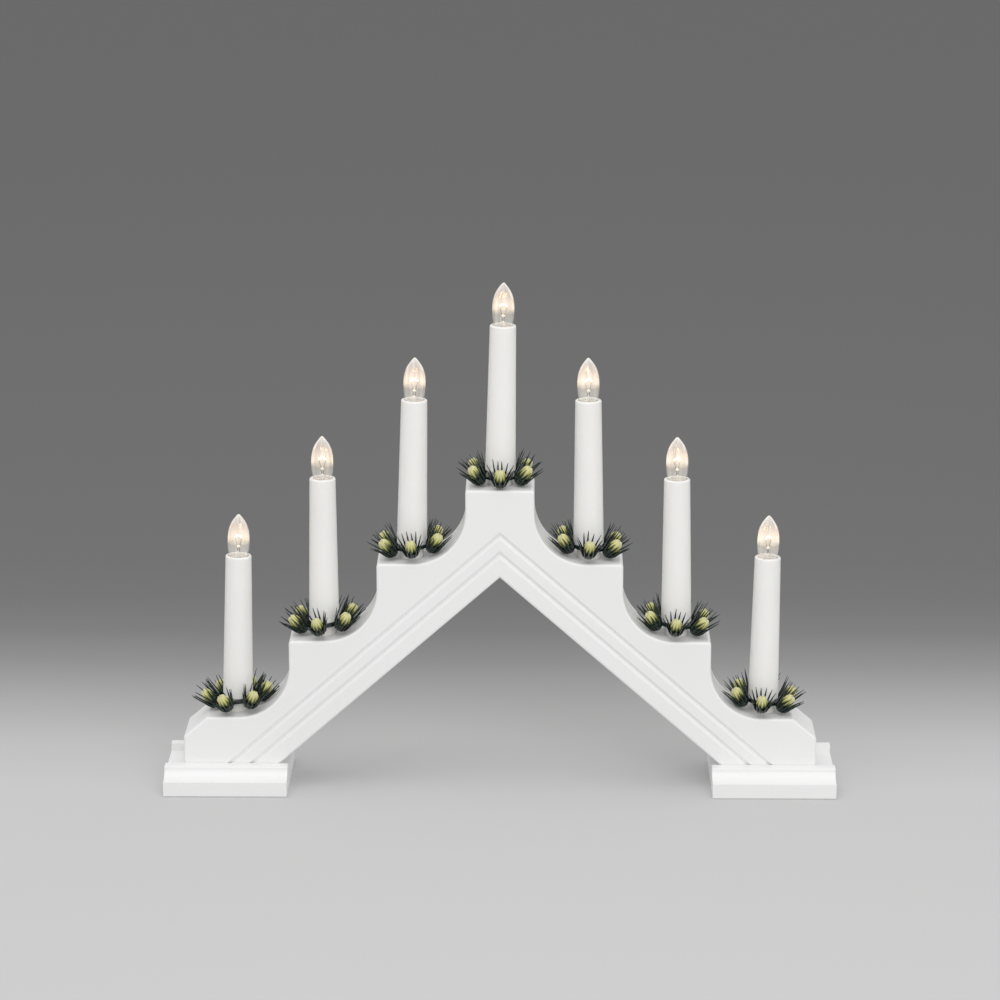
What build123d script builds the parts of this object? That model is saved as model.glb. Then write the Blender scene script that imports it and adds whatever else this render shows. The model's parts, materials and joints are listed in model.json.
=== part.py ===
from build123d import *

import os
from math import atan2, cos, degrees, radians, sin

# An electric candle arch: a stepped wooden board with its lower edge cut as a wide gable,
# standing in two moulded feet, with seven lamp holders, candle sleeves, bulbs and needle rings.
# Millimetres. X runs along the arch, Y from front to back and Z up. The origin lies on the
# surface that the feet stand on, midway between them.

os.makedirs("parts", exist_ok=True)

# Row of candles
steps_per_side = 3
candle_pitch = 52.5
candle_places = range(-steps_per_side, steps_per_side + 1)

# Lean of each candle towards +X in degrees, because the sockets are drilled by hand
candle_leans = {-3: 1.2, -2: 0, -1: 1.2, 0: 1, 1: -0.4, 2: -0.3, 3: 0.8}

# Board outline: the ends and the gable are measured from the end candles and the top seat
board_thickness = 36.0
board_end_margin = 31.3
first_seat_height = 44.2
step_rise = 47.6
top_step_rise = 44.8
step_side_reach = 20.3
step_flat_length = 1.2
step_corner_round = 2.2
board_edge_round = 1.4
top_board_depth = 53.1
limb_foot_length = 52.4
end_chamfer_length = 14.3
end_chamfer_height = 12.0
end_corner_round = 2.4

# Moulded grooves on the front of the board, measured square to the gable edge
front_groove_offsets = [10.7, 19.3]
front_groove_width = 3.6
front_groove_depth = 1.3

# Wiring groove on the back of the board
wiring_offset = 24.0
wiring_groove_width = 8.0
wiring_groove_depth = 8.0
wiring_groove_run_on = 6.5
wiring_bore_radius = 3.0

# Feet
foot_inner_margin = 9.8
foot_outer_margin = 11.2
foot_half_depth = 35.3
foot_fascia_height = 9.0
foot_cove_depth = 10.1
foot_cove_height = 5.2
foot_height = 15.7
foot_channel_depth = 4.6
foot_channel_clearance = 0.15
foot_nose_round = 0.7
foot_lower_bevel = 0.6

# Screws from the feet into the board
foot_screw_inner_margin = 8.6
foot_screw_outer_margin = 10.8
foot_screw_radius = 2.0
foot_screw_head_radius = 3.8
foot_screw_head_recess = 0.8
foot_screw_reach = 27.0
foot_screw_point_length = 3.0
foot_screw_clearance = 0.2
screw_slot_width = 0.9
screw_slot_depth = 0.8

# Lamp holders
holder_plug_radius = 5.9
holder_plug_clearance = 0.1
holder_plug_length = 14.0
holder_plug_chamfer = 0.8
holder_tail_bore_radius = 3.9
holder_tail_bore_depth = 12.0
holder_stem_radius = 7.0
holder_stem_height = 13.0
holder_spot_clearance = 0.3
holder_spot_depth = 0.6
holder_tube_radius = 5.2
holder_head_length = 19.9
holder_head_radius = 6.4
holder_mouth_chamfer = 0.5

# Threaded shells and centre contacts inside the holders
shell_radius = 5.5
shell_wall = 0.45
shell_clearance = 0.1
shell_height = 14.0
shell_mouth_depth = 2.2
contact_radius = 1.8
contact_height = 1.4
contact_gap = 0.3
contact_flange_radius = 3.4
contact_flange_height = 0.5

# Candle sleeves
sleeve_bottom_height = 8.6
sleeve_rim_height = 95.6
sleeve_bottom_radius = 9.0
sleeve_rim_radius = 7.7
sleeve_wall = 1.0
sleeve_lip_thickness = 1.2
sleeve_mouth_radius = 6.05
sleeve_rim_round = 0.9
sleeve_seat_clearance = 0.3

# Bulbs, with heights measured up from the sleeve rim
bulb_belly_radius = 6.5
bulb_belly_height = 9.5
bulb_mouth_radius = 5.7
bulb_height = 25.2
bulb_tip_radius = 1.3
bulb_neck_radius = 4.1
bulb_neck_depth = 6.5
bulb_neck_length = 1.6
bulb_glass_wall = 0.6
cap_radius = 4.75
cap_wall = 0.35
cap_top_depth = 4.6
cap_cone_height = 1.8
cap_button_radius = 1.7
cap_button_height = 0.7
cap_glass_clearance = 0.25

# Glass mount and filament inside each bulb
mount_radius = 1.2
mount_top_height = 2.4
mount_flare_radius = 2.9
mount_flare_height = 1.4
lead_radius = 0.3
lead_spacing = 0.9
lead_top_height = 11.0
bead_radius = 1.3
bead_height = 5.4
filament_radius = 0.45
filament_half_span = 2.2
filament_rise = 1.5

# Needle rings, in the frame of one ring with its lowest points on its own base plane
hoop_bore_radius = 7.4
hoop_radius = 10.1
hoop_base_height = 3.4
hoop_thickness = 1.6
tuft_count = 6
tuft_circle_radius = 11.6
tuft_elevation = 50.0
tuft_link_width = 3.0
tuft_link_reach = 11.2
cup_side_count = 9
cup_foot_radius = 1.9
cup_waist_radius = 3.7
cup_waist_height = 2.2
cup_rim_radius = 4.5
cup_rim_height = 6.0
cup_floor_height = 2.6
cup_floor_radius = 2.5
cup_mouth_radius = 3.8
needle_root_height = 4.0
needle_root_circle = 3.95
needle_root_width = 1.1
needle_tip_height = 17.0
needle_tip_circle = 6.2
needle_tip_width = 0.5
bud_side_count = 8
bud_foot_radius = 2.0
bud_belly_radius = 3.3
bud_belly_height = 4.2
bud_shoulder_height = 8.4
bud_shoulder_radius = 3.1
bud_height = 11.8
bud_tip_radius = 1.2

# How each ring lies: height of its base plane over the seat, lean and turn
ring_clearance = 0.5
leaning_ring_lift = 2.3
ring_lean = 6.0
ring_turns = {-3: -24, -2: -10, -1: 1, 0: 0, 1: 0, 2: -3, 3: -7}

# Wires in the groove, their tails in the holders and the staples over them
wire_radius = 0.8
wire_spacing = 3.2
wire_tail_inset = 1.4
wire_tail_gap = 0.15
wire_bend_radius = 4.8
series_wire_depth = 4.4
return_wire_depth = 1.6
wire_corner_radius = 8.0
staple_place_share = 0.5
staple_width = 11.0
staple_wire = 0.8
staple_leg_length = 5.0

# Clamp where the lead enters the back of the left limb
clamp_end_margin = 15.8
clamp_width = 7.0
clamp_height = 17.0
clamp_thickness = 2.4
clamp_corner_round = 1.5
clamp_tongue_height = 7.2
clamp_tongue_depth = 2.0
clamp_screw_spacing = 12.4
clamp_screw_radius = 1.0
clamp_screw_clearance = 0.1
clamp_screw_head_radius = 2.0
clamp_screw_head_height = 1.1
clamp_screw_length = 8.0
lead_end_gap = 1.5

# How far a cutting shape runs past the face that it cuts
overrun = 1.0


def seat_height(place):
    """Height of the seat under the candle that stands this many places from the middle."""
    if place == 0:
        return first_seat_height + (steps_per_side - 1) * step_rise + top_step_rise
    return first_seat_height + (steps_per_side - abs(place)) * step_rise


# Values worked out from the driving dimensions
end_candle_reach = steps_per_side * candle_pitch
board_half_length = end_candle_reach + board_end_margin
step_arc_radius = candle_pitch - step_side_reach - step_flat_length
step_reaches = [place * candle_pitch + step_side_reach for place in range(steps_per_side)]
gable_reach = board_half_length - limb_foot_length
gable_apex_height = seat_height(0) - top_board_depth
channel_floor_height = foot_height - foot_channel_depth
gable_slope = (gable_apex_height - channel_floor_height) / gable_reach
gable_angle = degrees(atan2(gable_apex_height - channel_floor_height, gable_reach))
back_plane = Plane.XZ.offset(-board_thickness / 2)
wiring_groove_reach = end_candle_reach + wiring_groove_run_on
foot_reach = board_half_length + foot_outer_margin
foot_length = foot_inner_margin + limb_foot_length + foot_outer_margin
foot_screw_places = [
    gable_reach + foot_screw_inner_margin,
    board_half_length - foot_screw_outer_margin,
]
clamp_reach = board_half_length - clamp_end_margin


def gable_height(reach, offset):
    """Height of a line that runs parallel to the gable edge, this far above it."""
    return gable_apex_height + offset / cos(radians(gable_angle)) - gable_slope * abs(reach)


def candle_plane(place):
    """Upright plane through a candle axis, with its origin on the seat and Y up the candle."""
    lean = radians(candle_leans[place])
    return Plane(
        origin=(place * candle_pitch, 0, seat_height(place)),
        x_dir=(cos(lean), 0, -sin(lean)),
        z_dir=(0, -1, 0),
    )


def candle_axis(place):
    """Axis of the candle at this place."""
    upright = candle_plane(place)
    return Axis(upright.origin, upright.y_dir)


def socket_plane(place):
    """Plane square to a candle axis, a cutting overrun above its seat."""
    upright = candle_plane(place)
    return Plane(
        origin=upright.from_local_coords((0, overrun, 0)),
        x_dir=upright.x_dir,
        z_dir=upright.y_dir,
    )


def save(part, name):
    """Label a finished piece and write it to its own file."""
    part.label = name
    export_step(part, f"parts/{name}.step")


# Arch board
with BuildPart() as arch_board:
    with BuildSketch(Plane.XZ) as outline:
        with BuildLine():
            start = (0, seat_height(0))
            for place, reach in enumerate(step_reaches):
                corner = (reach, seat_height(place))
                arc_start = (reach, seat_height(place + 1) + step_arc_radius)
                Polyline(start, corner, arc_start)
                hollow = JernArc(arc_start, (0, -1), step_arc_radius, 90)
                start = hollow @ 1
            Polyline(
                start,
                (board_half_length - end_chamfer_length, first_seat_height),
                (board_half_length, first_seat_height - end_chamfer_height),
                (board_half_length, channel_floor_height),
                (gable_reach, channel_floor_height),
                (0, gable_apex_height),
                (0, seat_height(0)),
            )
        make_face()
        step_corners = [
            outline.vertices().sort_by_distance((reach, seat_height(place)))[0]
            for place, reach in enumerate(step_reaches)
        ]
        fillet(step_corners, radius=step_corner_round)
        end_corners = [
            outline.vertices().sort_by_distance((reach, height))[0]
            for reach, height in (
                (board_half_length - end_chamfer_length, first_seat_height),
                (board_half_length, first_seat_height - end_chamfer_height),
            )
        ]
        fillet(end_corners, radius=end_corner_round)
        mirror(about=Plane.YZ)
    extrude(amount=board_thickness / 2, both=True)

    # Rounded front and back edges, left square where the board stands in the feet
    rim_edges = arch_board.faces().filter_by(Axis.Y).edges()
    fillet([edge for edge in rim_edges if edge.center().Z > foot_height], radius=board_edge_round)

    # Pair of mitred grooves that follow the gable edge on the front
    for offset_up in front_groove_offsets:
        low_reach = (gable_height(0, offset_up) - channel_floor_height) / gable_slope + overrun
        low_height = gable_height(low_reach, offset_up)
        with BuildLine() as groove_path:
            Polyline(
                (-low_reach, -board_thickness / 2, low_height),
                (0, -board_thickness / 2, gable_height(0, offset_up)),
                (low_reach, -board_thickness / 2, low_height),
            )
        groove_start = Plane(
            origin=groove_path.line @ 0,
            x_dir=(0, 1, 0),
            z_dir=groove_path.line % 0,
        )
        with BuildSketch(groove_start):
            with BuildLine():
                Polyline(
                    (-overrun, -front_groove_width / 2),
                    (0, -front_groove_width / 2),
                    (front_groove_depth, 0),
                    (0, front_groove_width / 2),
                    (-overrun, front_groove_width / 2),
                    close=True,
                )
            make_face()
        sweep(path=groove_path.line, transition=Transition.RIGHT, mode=Mode.SUBTRACT)

    # Wiring groove: two limbs along the gable and a branch out to the left end
    with BuildSketch(back_plane):
        for side in (-1, 1):
            limb_middle = (
                side * wiring_groove_reach / 2,
                gable_height(wiring_groove_reach / 2, wiring_offset),
            )
            limb_length = wiring_groove_reach / cos(radians(gable_angle))
            with Locations(limb_middle):
                SlotCenterToCenter(limb_length, wiring_groove_width, rotation=-side * gable_angle)
        branch_end = board_half_length + wiring_groove_width
        branch_middle = -(end_candle_reach + branch_end) / 2
        with Locations((branch_middle, gable_height(end_candle_reach, wiring_offset))):
            SlotCenterToCenter(branch_end - end_candle_reach, wiring_groove_width)
    extrude(amount=wiring_groove_depth, mode=Mode.SUBTRACT)

    # Holder sockets with a spot face in each seat, and a bore from each to the groove
    for place in candle_places:
        candle_x = place * candle_pitch
        bore_height = gable_height(candle_x, wiring_offset)
        with Locations(socket_plane(place)):
            CounterBoreHole(
                radius=holder_plug_radius + holder_plug_clearance,
                counter_bore_radius=holder_stem_radius + holder_spot_clearance,
                counter_bore_depth=overrun + holder_spot_depth,
                depth=seat_height(place) + overrun - bore_height + wiring_bore_radius,
            )
        with Locations(Plane(origin=(candle_x, board_thickness / 2, bore_height), z_dir=(0, 1, 0))):
            Hole(radius=wiring_bore_radius, depth=board_thickness / 2)

    # Pilot holes for the foot screws and the clamp screws
    for side in (-1, 1):
        for reach in foot_screw_places:
            with Locations(
                Plane(origin=(side * reach, 0, channel_floor_height), z_dir=(0, 0, -1))
            ):
                Hole(
                    radius=foot_screw_radius + foot_screw_clearance,
                    depth=foot_screw_reach + foot_screw_clearance - channel_floor_height,
                )
    clamp_z = gable_height(end_candle_reach, wiring_offset)
    for side in (-1, 1):
        screw_spot = (-clamp_reach, board_thickness / 2, clamp_z + side * clamp_screw_spacing / 2)
        with Locations(Plane(origin=screw_spot, z_dir=(0, 1, 0))):
            Hole(radius=clamp_screw_radius + clamp_screw_clearance, depth=clamp_screw_length)
save(arch_board.part, "arch_board")


# Feet: a moulded rail profile with a channel for the board, cut to length
def make_foot(inner_reach, name):
    """One foot, from this X towards +X over the foot length."""
    with BuildPart() as foot:
        with BuildSketch(Plane.YZ.offset(inner_reach)) as profile:
            with BuildLine():
                channel_half = board_thickness / 2 + foot_channel_clearance
                nose = foot_half_depth - foot_cove_depth
                cove_top = foot_fascia_height + foot_cove_height
                Polyline(
                    (0, channel_floor_height),
                    (0, 0),
                    (foot_half_depth, 0),
                    (foot_half_depth, foot_fascia_height),
                )
                EllipticalCenterArc(
                    (foot_half_depth, cove_top), foot_cove_depth, foot_cove_height, 180, arc_size=90
                )
                Polyline(
                    (nose, cove_top),
                    (nose, foot_height),
                    (channel_half, foot_height),
                    (channel_half, channel_floor_height),
                    (0, channel_floor_height),
                )
            make_face()
            nose_corner = profile.vertices().sort_by_distance((nose, foot_height))[0]
            fillet(nose_corner, radius=foot_nose_round)
            lower_corner = profile.vertices().sort_by_distance((foot_half_depth, 0))[0]
            chamfer(lower_corner, length=foot_lower_bevel)
            mirror(about=Plane.YZ)
        extrude(amount=foot_length)
        middle = inner_reach + foot_length / 2
        side = -1 if middle < 0 else 1
        for reach in foot_screw_places:
            with Locations(Plane(origin=(side * reach, 0, 0), z_dir=(0, 0, -1))):
                CounterSinkHole(
                    radius=foot_screw_radius + foot_screw_clearance,
                    counter_sink_radius=foot_screw_head_radius
                    + foot_screw_head_recess
                    + foot_screw_clearance,
                    counter_sink_angle=90,
                )
    save(foot.part, name)


make_foot(-foot_reach, "foot_left")
make_foot(foot_reach - foot_length, "foot_right")

# Countersunk screws that hold the feet
with BuildPart() as foot_screw:
    with BuildSketch(Plane.XZ):
        head_drop = foot_screw_head_radius - foot_screw_radius
        with BuildLine():
            Polyline(
                (0, foot_screw_head_recess),
                (foot_screw_head_radius, foot_screw_head_recess),
                (foot_screw_radius, foot_screw_head_recess + head_drop),
                (foot_screw_radius, foot_screw_reach - foot_screw_point_length),
                (0, foot_screw_reach),
                close=True,
            )
        make_face()
    revolve(axis=Axis.Z)
    with BuildSketch(Plane.XY.offset(foot_screw_head_recess)):
        Rectangle(2 * foot_screw_head_radius, screw_slot_width)
    extrude(amount=screw_slot_depth, mode=Mode.SUBTRACT)
with BuildPart() as foot_screws:
    screw_spots = [(side * reach, 0) for side in (-1, 1) for reach in foot_screw_places]
    with Locations(*screw_spots):
        add(foot_screw.part)
save(foot_screws.part, "foot_screws")


# Lamp holders: a plug in the board, a stem on the seat, a slim tube and a socket head
holder_head_top = sleeve_rim_height - sleeve_lip_thickness - sleeve_seat_clearance
holder_head_base = holder_head_top - holder_head_length
shell_base_height = holder_head_top - shell_mouth_depth - shell_height
socket_floor_height = shell_base_height - contact_flange_height


def make_lamp_holder(place):
    """Moulded holder, turned about the candle axis from its section."""
    stem_slope_top = holder_stem_height + holder_stem_radius - holder_tube_radius
    head_slope_base = holder_head_base - holder_head_radius + holder_tube_radius
    with BuildPart() as holder:
        with BuildSketch(candle_plane(place)) as section:
            with BuildLine():
                Polyline(
                    (0, holder_tail_bore_depth - holder_plug_length),
                    (holder_tail_bore_radius, holder_tail_bore_depth - holder_plug_length),
                    (holder_tail_bore_radius, -holder_plug_length),
                    (holder_plug_radius, -holder_plug_length),
                    (holder_plug_radius, -holder_spot_depth),
                    (holder_stem_radius, -holder_spot_depth),
                    (holder_stem_radius, holder_stem_height),
                    (holder_tube_radius, stem_slope_top),
                    (holder_tube_radius, head_slope_base),
                    (holder_head_radius, holder_head_base),
                    (holder_head_radius, holder_head_top),
                    (shell_radius + shell_clearance, holder_head_top),
                    (shell_radius + shell_clearance, socket_floor_height),
                    (0, socket_floor_height),
                    close=True,
                )
            make_face()
            plug_corner = section.vertices().sort_by_distance(
                (holder_plug_radius, -holder_plug_length)
            )[0]
            chamfer(plug_corner, length=holder_plug_chamfer)
            mouth_corner = section.vertices().sort_by_distance(
                (shell_radius + shell_clearance, holder_head_top)
            )[0]
            chamfer(mouth_corner, length=holder_mouth_chamfer)
        revolve(axis=candle_axis(place))
    save(holder.part, f"lamp_holder_{place + steps_per_side + 1}")


for place in candle_places:
    make_lamp_holder(place)

# Threaded shells, one in each holder
with BuildPart() as holder_shells:
    for place in candle_places:
        with BuildSketch(candle_plane(place)):
            with BuildLine():
                Polyline(
                    (contact_flange_radius + shell_clearance, shell_base_height),
                    (shell_radius, shell_base_height),
                    (shell_radius, shell_base_height + shell_height),
                    (shell_radius - shell_wall, shell_base_height + shell_height),
                    (shell_radius - shell_wall, shell_base_height + shell_wall),
                    (contact_flange_radius + shell_clearance, shell_base_height + shell_wall),
                    close=True,
                )
            make_face()
        revolve(axis=candle_axis(place))
save(holder_shells.part, "holder_shells")

# Centre contacts on the socket floors
with BuildPart() as holder_contacts:
    for place in candle_places:
        with BuildSketch(candle_plane(place)):
            with BuildLine():
                Polyline(
                    (0, socket_floor_height),
                    (contact_flange_radius, socket_floor_height),
                    (contact_flange_radius, socket_floor_height + contact_flange_height),
                    (contact_radius, socket_floor_height + contact_flange_height),
                    (contact_radius, socket_floor_height + contact_height),
                    (0, socket_floor_height + contact_height),
                    close=True,
                )
            make_face()
        revolve(axis=candle_axis(place))
save(holder_contacts.part, "holder_contacts")


# Candle sleeves: a tapered tube with a rounded rim and an inward lip over the holder head
def make_sleeve(place):
    """Sleeve with its wall drawn as a section and turned about the candle axis."""
    taper = (sleeve_bottom_radius - sleeve_rim_radius) / (sleeve_rim_height - sleeve_bottom_height)
    lip_base = sleeve_rim_height - sleeve_lip_thickness
    with BuildPart() as sleeve:
        with BuildSketch(candle_plane(place)) as section:
            with BuildLine():
                Polyline(
                    (sleeve_bottom_radius - sleeve_wall, sleeve_bottom_height),
                    (sleeve_bottom_radius, sleeve_bottom_height),
                    (sleeve_rim_radius, sleeve_rim_height),
                    (sleeve_mouth_radius, sleeve_rim_height),
                    (sleeve_mouth_radius, lip_base),
                    (sleeve_rim_radius + taper * sleeve_lip_thickness - sleeve_wall, lip_base),
                    close=True,
                )
            make_face()
            rim_corner = section.vertices().sort_by_distance(
                (sleeve_rim_radius, sleeve_rim_height)
            )[0]
            fillet(rim_corner, radius=sleeve_rim_round)
        revolve(axis=candle_axis(place))
    save(sleeve.part, f"candle_sleeve_{place + steps_per_side + 1}")


for place in candle_places:
    make_sleeve(place)


# Bulbs: a candle-shaped glass envelope, a screw cap and a filament on its mount
def bulb_curve(inset):
    """Outline of the glass from the neck to the tip, drawn this far inside the outer face."""
    neck_base = sleeve_rim_height - bulb_neck_depth
    neck_top = neck_base + bulb_neck_length
    tip = sleeve_rim_height + bulb_height - inset
    Line((bulb_neck_radius - inset, neck_base), (bulb_neck_radius - inset, neck_top))
    return Spline(
        (bulb_neck_radius - inset, neck_top),
        (bulb_mouth_radius - inset, sleeve_rim_height),
        (bulb_belly_radius - inset, sleeve_rim_height + bulb_belly_height),
        (2 * bulb_tip_radius - inset, tip - bulb_tip_radius),
        (0, tip),
        tangents=[(0, 1), (-1, 0)],
    )


def make_bulb_glass(place):
    """Thin glass envelope, open at the neck."""
    with BuildPart() as glass:
        with BuildSketch(candle_plane(place)):
            with BuildLine():
                bulb_curve(0)
                bulb_curve(bulb_glass_wall)
                neck_base = sleeve_rim_height - bulb_neck_depth
                Line((bulb_neck_radius - bulb_glass_wall, neck_base), (bulb_neck_radius, neck_base))
                tip = sleeve_rim_height + bulb_height
                Line((0, tip - bulb_glass_wall), (0, tip))
            make_face()
        revolve(axis=candle_axis(place))
    save(glass.part, f"bulb_glass_{place + steps_per_side + 1}")


def make_bulb_cap(place):
    """Metal screw cap with its insulated cone and centre contact."""
    top = sleeve_rim_height - cap_top_depth
    bottom = socket_floor_height + contact_height + contact_gap + cap_button_height
    inner_floor = sleeve_rim_height - bulb_neck_depth - cap_glass_clearance
    with BuildPart() as cap:
        with BuildSketch(candle_plane(place)):
            with BuildLine():
                Polyline(
                    (0, bottom - cap_button_height),
                    (cap_button_radius, bottom - cap_button_height),
                    (cap_button_radius, bottom),
                    (cap_radius, bottom + cap_cone_height),
                    (cap_radius, top),
                    (cap_radius - cap_wall, top),
                    (cap_radius - cap_wall, inner_floor),
                    (0, inner_floor),
                    close=True,
                )
            make_face()
        revolve(axis=candle_axis(place))
    save(cap.part, f"bulb_cap_{place + steps_per_side + 1}")


def make_filament(place):
    """Glass mount, bead and two leads that carry an arched filament."""
    floor = sleeve_rim_height - bulb_neck_depth - cap_glass_clearance
    top = sleeve_rim_height + lead_top_height
    upright = candle_plane(place)
    with BuildPart() as filament:
        with BuildSketch(upright):
            with BuildLine():
                Polyline(
                    (0, floor),
                    (mount_flare_radius, floor),
                    (mount_radius, floor + mount_flare_height),
                    (mount_radius, sleeve_rim_height + mount_top_height),
                    (0, sleeve_rim_height + mount_top_height),
                    close=True,
                )
            make_face()
        revolve(axis=candle_axis(place))
        with Locations(upright.from_local_coords((0, sleeve_rim_height + bead_height, 0))):
            Sphere(radius=bead_radius)
        for side in (-1, 1):
            lead_foot = upright.from_local_coords((side * lead_spacing / 2, sleeve_rim_height, 0))
            lead_head = upright.from_local_coords((side * filament_half_span, top, 0))
            with BuildSketch(Plane(origin=lead_foot, z_dir=lead_head - lead_foot)):
                RegularPolygon(radius=lead_radius, side_count=6)
            extrude(amount=(lead_head - lead_foot).length + filament_radius)
        with BuildLine() as arch_path:
            ThreePointArc(
                upright.from_local_coords((-filament_half_span, top, 0)),
                upright.from_local_coords((0, top + filament_rise, 0)),
                upright.from_local_coords((filament_half_span, top, 0)),
            )
        with BuildSketch(Plane(origin=arch_path.line @ 0, z_dir=arch_path.line % 0)):
            RegularPolygon(radius=filament_radius, side_count=8)
        sweep(path=arch_path.line)
    save(filament.part, f"bulb_filament_{place + steps_per_side + 1}")


for place in candle_places:
    make_bulb_glass(place)
    make_bulb_cap(place)
    make_filament(place)

# One needle of a tuft, flaring outwards from its root in the cup wall
with BuildPart() as needle:
    with BuildSketch(Plane((needle_root_circle, 0, needle_root_height))):
        Rectangle(needle_root_width, needle_root_width)
    with BuildSketch(Plane((needle_tip_circle, 0, needle_tip_height))):
        Rectangle(needle_tip_width, needle_tip_width)
    loft(ruled=True)

# One tuft: a fluted cup with a hollow for its bud and a crown of needles on the rim
with BuildPart() as tuft:
    cup_sections = [
        (0, cup_foot_radius),
        (cup_waist_height, cup_waist_radius),
        (cup_rim_height, cup_rim_radius),
    ]
    for height, radius in cup_sections:
        with BuildSketch(Plane.XY.offset(height)):
            RegularPolygon(radius=radius, side_count=cup_side_count)
    loft(ruled=True)
    with BuildSketch(Plane.XY.offset(cup_floor_height)):
        RegularPolygon(radius=cup_floor_radius, side_count=cup_side_count)
    with BuildSketch(Plane.XY.offset(cup_rim_height)):
        RegularPolygon(radius=cup_mouth_radius, side_count=cup_side_count)
    loft(ruled=True, mode=Mode.SUBTRACT)
    with PolarLocations(0, cup_side_count):
        add(needle.part)

# One bud: a spindle that stands on the cup floor
with BuildPart() as bud:
    bud_sections = [
        (0, bud_foot_radius),
        (bud_belly_height, bud_belly_radius),
        (bud_shoulder_height, bud_shoulder_radius),
        (bud_height, bud_tip_radius),
    ]
    for height, radius in bud_sections:
        with BuildSketch(Plane.XY.offset(cup_floor_height + height)):
            RegularPolygon(radius=radius, side_count=bud_side_count)
    loft(ruled=True)

# Whole ring: a hoop round the holder stem with six tufts leaning outwards
tuft_base_height = cup_foot_radius * cos(radians(tuft_elevation))
tuft_lean = Location((0, 0, tuft_base_height), (0, 90 - tuft_elevation, 0))
first_tuft_angle = -90
with BuildPart() as needle_ring:
    with BuildSketch(Plane.XY.offset(hoop_base_height)):
        Circle(hoop_radius)
        with PolarLocations(hoop_radius, tuft_count, first_tuft_angle):
            Rectangle(2 * (tuft_link_reach - hoop_radius), tuft_link_width)
        Circle(hoop_bore_radius, mode=Mode.SUBTRACT)
    extrude(amount=hoop_thickness)
    with PolarLocations(tuft_circle_radius, tuft_count, first_tuft_angle):
        with Locations(tuft_lean):
            add(tuft.part)
with BuildPart() as ring_buds:
    with PolarLocations(tuft_circle_radius, tuft_count, first_tuft_angle):
        with Locations(tuft_lean):
            add(bud.part)


def ring_location(place):
    """Where a ring lies: level on the middle seat, leaning on the rise beside the others."""
    side = (place > 0) - (place < 0)
    lift = leaning_ring_lift if side else ring_clearance
    hoop_height = hoop_base_height + hoop_thickness / 2
    hoop_centre = candle_plane(place).from_local_coords((0, lift + hoop_height, 0))
    leaning = Location(hoop_centre, (0, side * ring_lean, 0))
    return leaning * Location((0, 0, -hoop_height), (0, 0, ring_turns[place]))


for place in candle_places:
    number = place + steps_per_side + 1
    save(needle_ring.part.moved(ring_location(place)), f"needle_ring_{number}")
    save(ring_buds.part.moved(ring_location(place)), f"ring_buds_{number}")


# Wires: each runs from the tail bore of a holder through the wiring bore into the groove
def groove_point(reach, depth):
    """Point on the centre line of the groove, this far in from the back face."""
    return (reach, board_thickness / 2 - depth, gable_height(reach, wiring_offset))


def tail_points(place, shift, depth):
    """Points of a wire tail, from its end in the holder down and out to the groove."""
    reach = place * candle_pitch + shift
    bore_top = seat_height(place) - holder_plug_length + holder_tail_bore_depth
    tail_top = bore_top - wire_tail_gap
    exit_point = groove_point(reach, depth)
    return [(reach, wire_tail_inset, tail_top), (reach, wire_tail_inset, exit_point[2]), exit_point]


def add_wire(points, radii):
    """Round wire along straight runs joined by tangent arcs."""
    with BuildLine() as path:
        FilletPolyline(*points, radius=radii)
    with BuildSketch(Plane(origin=path.line @ 0, z_dir=path.line % 0)) as section:
        Circle(wire_radius)
    sweep(section.sketch, path=path.line)


wire_shift = wire_spacing / 2 * cos(radians(gable_angle))
bend = wire_bend_radius
corner = wire_corner_radius

# Six wires that join neighbouring holders in series
with BuildPart() as series_wires:
    for place in range(-steps_per_side, steps_per_side):
        first_tail = tail_points(place, wire_shift, series_wire_depth)
        second_tail = tail_points(place + 1, -wire_shift, series_wire_depth)
        add_wire([*first_tail, *reversed(second_tail)], [bend] * 4)
save(series_wires.part, "series_wires")

# Feed to the first holder and the return from the last, both ending in the clamp
clamp_inner_reach = clamp_reach - clamp_width / 2 - lead_end_gap
branch_height = gable_height(end_candle_reach, wiring_offset)
with BuildPart() as feed_wires:
    feed_tail = tail_points(-steps_per_side, -wire_shift, series_wire_depth)
    feed_end = (-clamp_inner_reach, feed_tail[2][1], feed_tail[2][2])
    add_wire([*feed_tail, feed_end], [bend, bend])
    return_tail = tail_points(steps_per_side, wire_shift, return_wire_depth)
    return_knee = groove_point(-end_candle_reach, return_wire_depth)
    return_end = (-clamp_inner_reach, return_knee[1], return_knee[2])
    add_wire(
        [*return_tail, groove_point(0, return_wire_depth), return_knee, return_end],
        [bend, bend, corner, corner],
    )
save(feed_wires.part, "feed_wires")

# Staples across the groove, with their legs driven into the board
with BuildPart() as wire_staples:
    for side in (-1, 1):
        for step in range(steps_per_side):
            middle = groove_point(side * (step + staple_place_share) * candle_pitch, 0)
            across = Plane(
                origin=middle,
                x_dir=(side * sin(radians(gable_angle)), 0, cos(radians(gable_angle))),
                z_dir=(side * cos(radians(gable_angle)), 0, -sin(radians(gable_angle))),
            )
            with BuildSketch(across):
                with Locations((0, staple_wire / 2)):
                    Rectangle(staple_width, staple_wire)
                leg_x = (staple_width - staple_wire) / 2
                with Locations((-leg_x, -staple_leg_length / 2), (leg_x, -staple_leg_length / 2)):
                    Rectangle(staple_wire, staple_leg_length)
            extrude(amount=staple_wire / 2, both=True)
save(wire_staples.part, "wire_staples")

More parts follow.
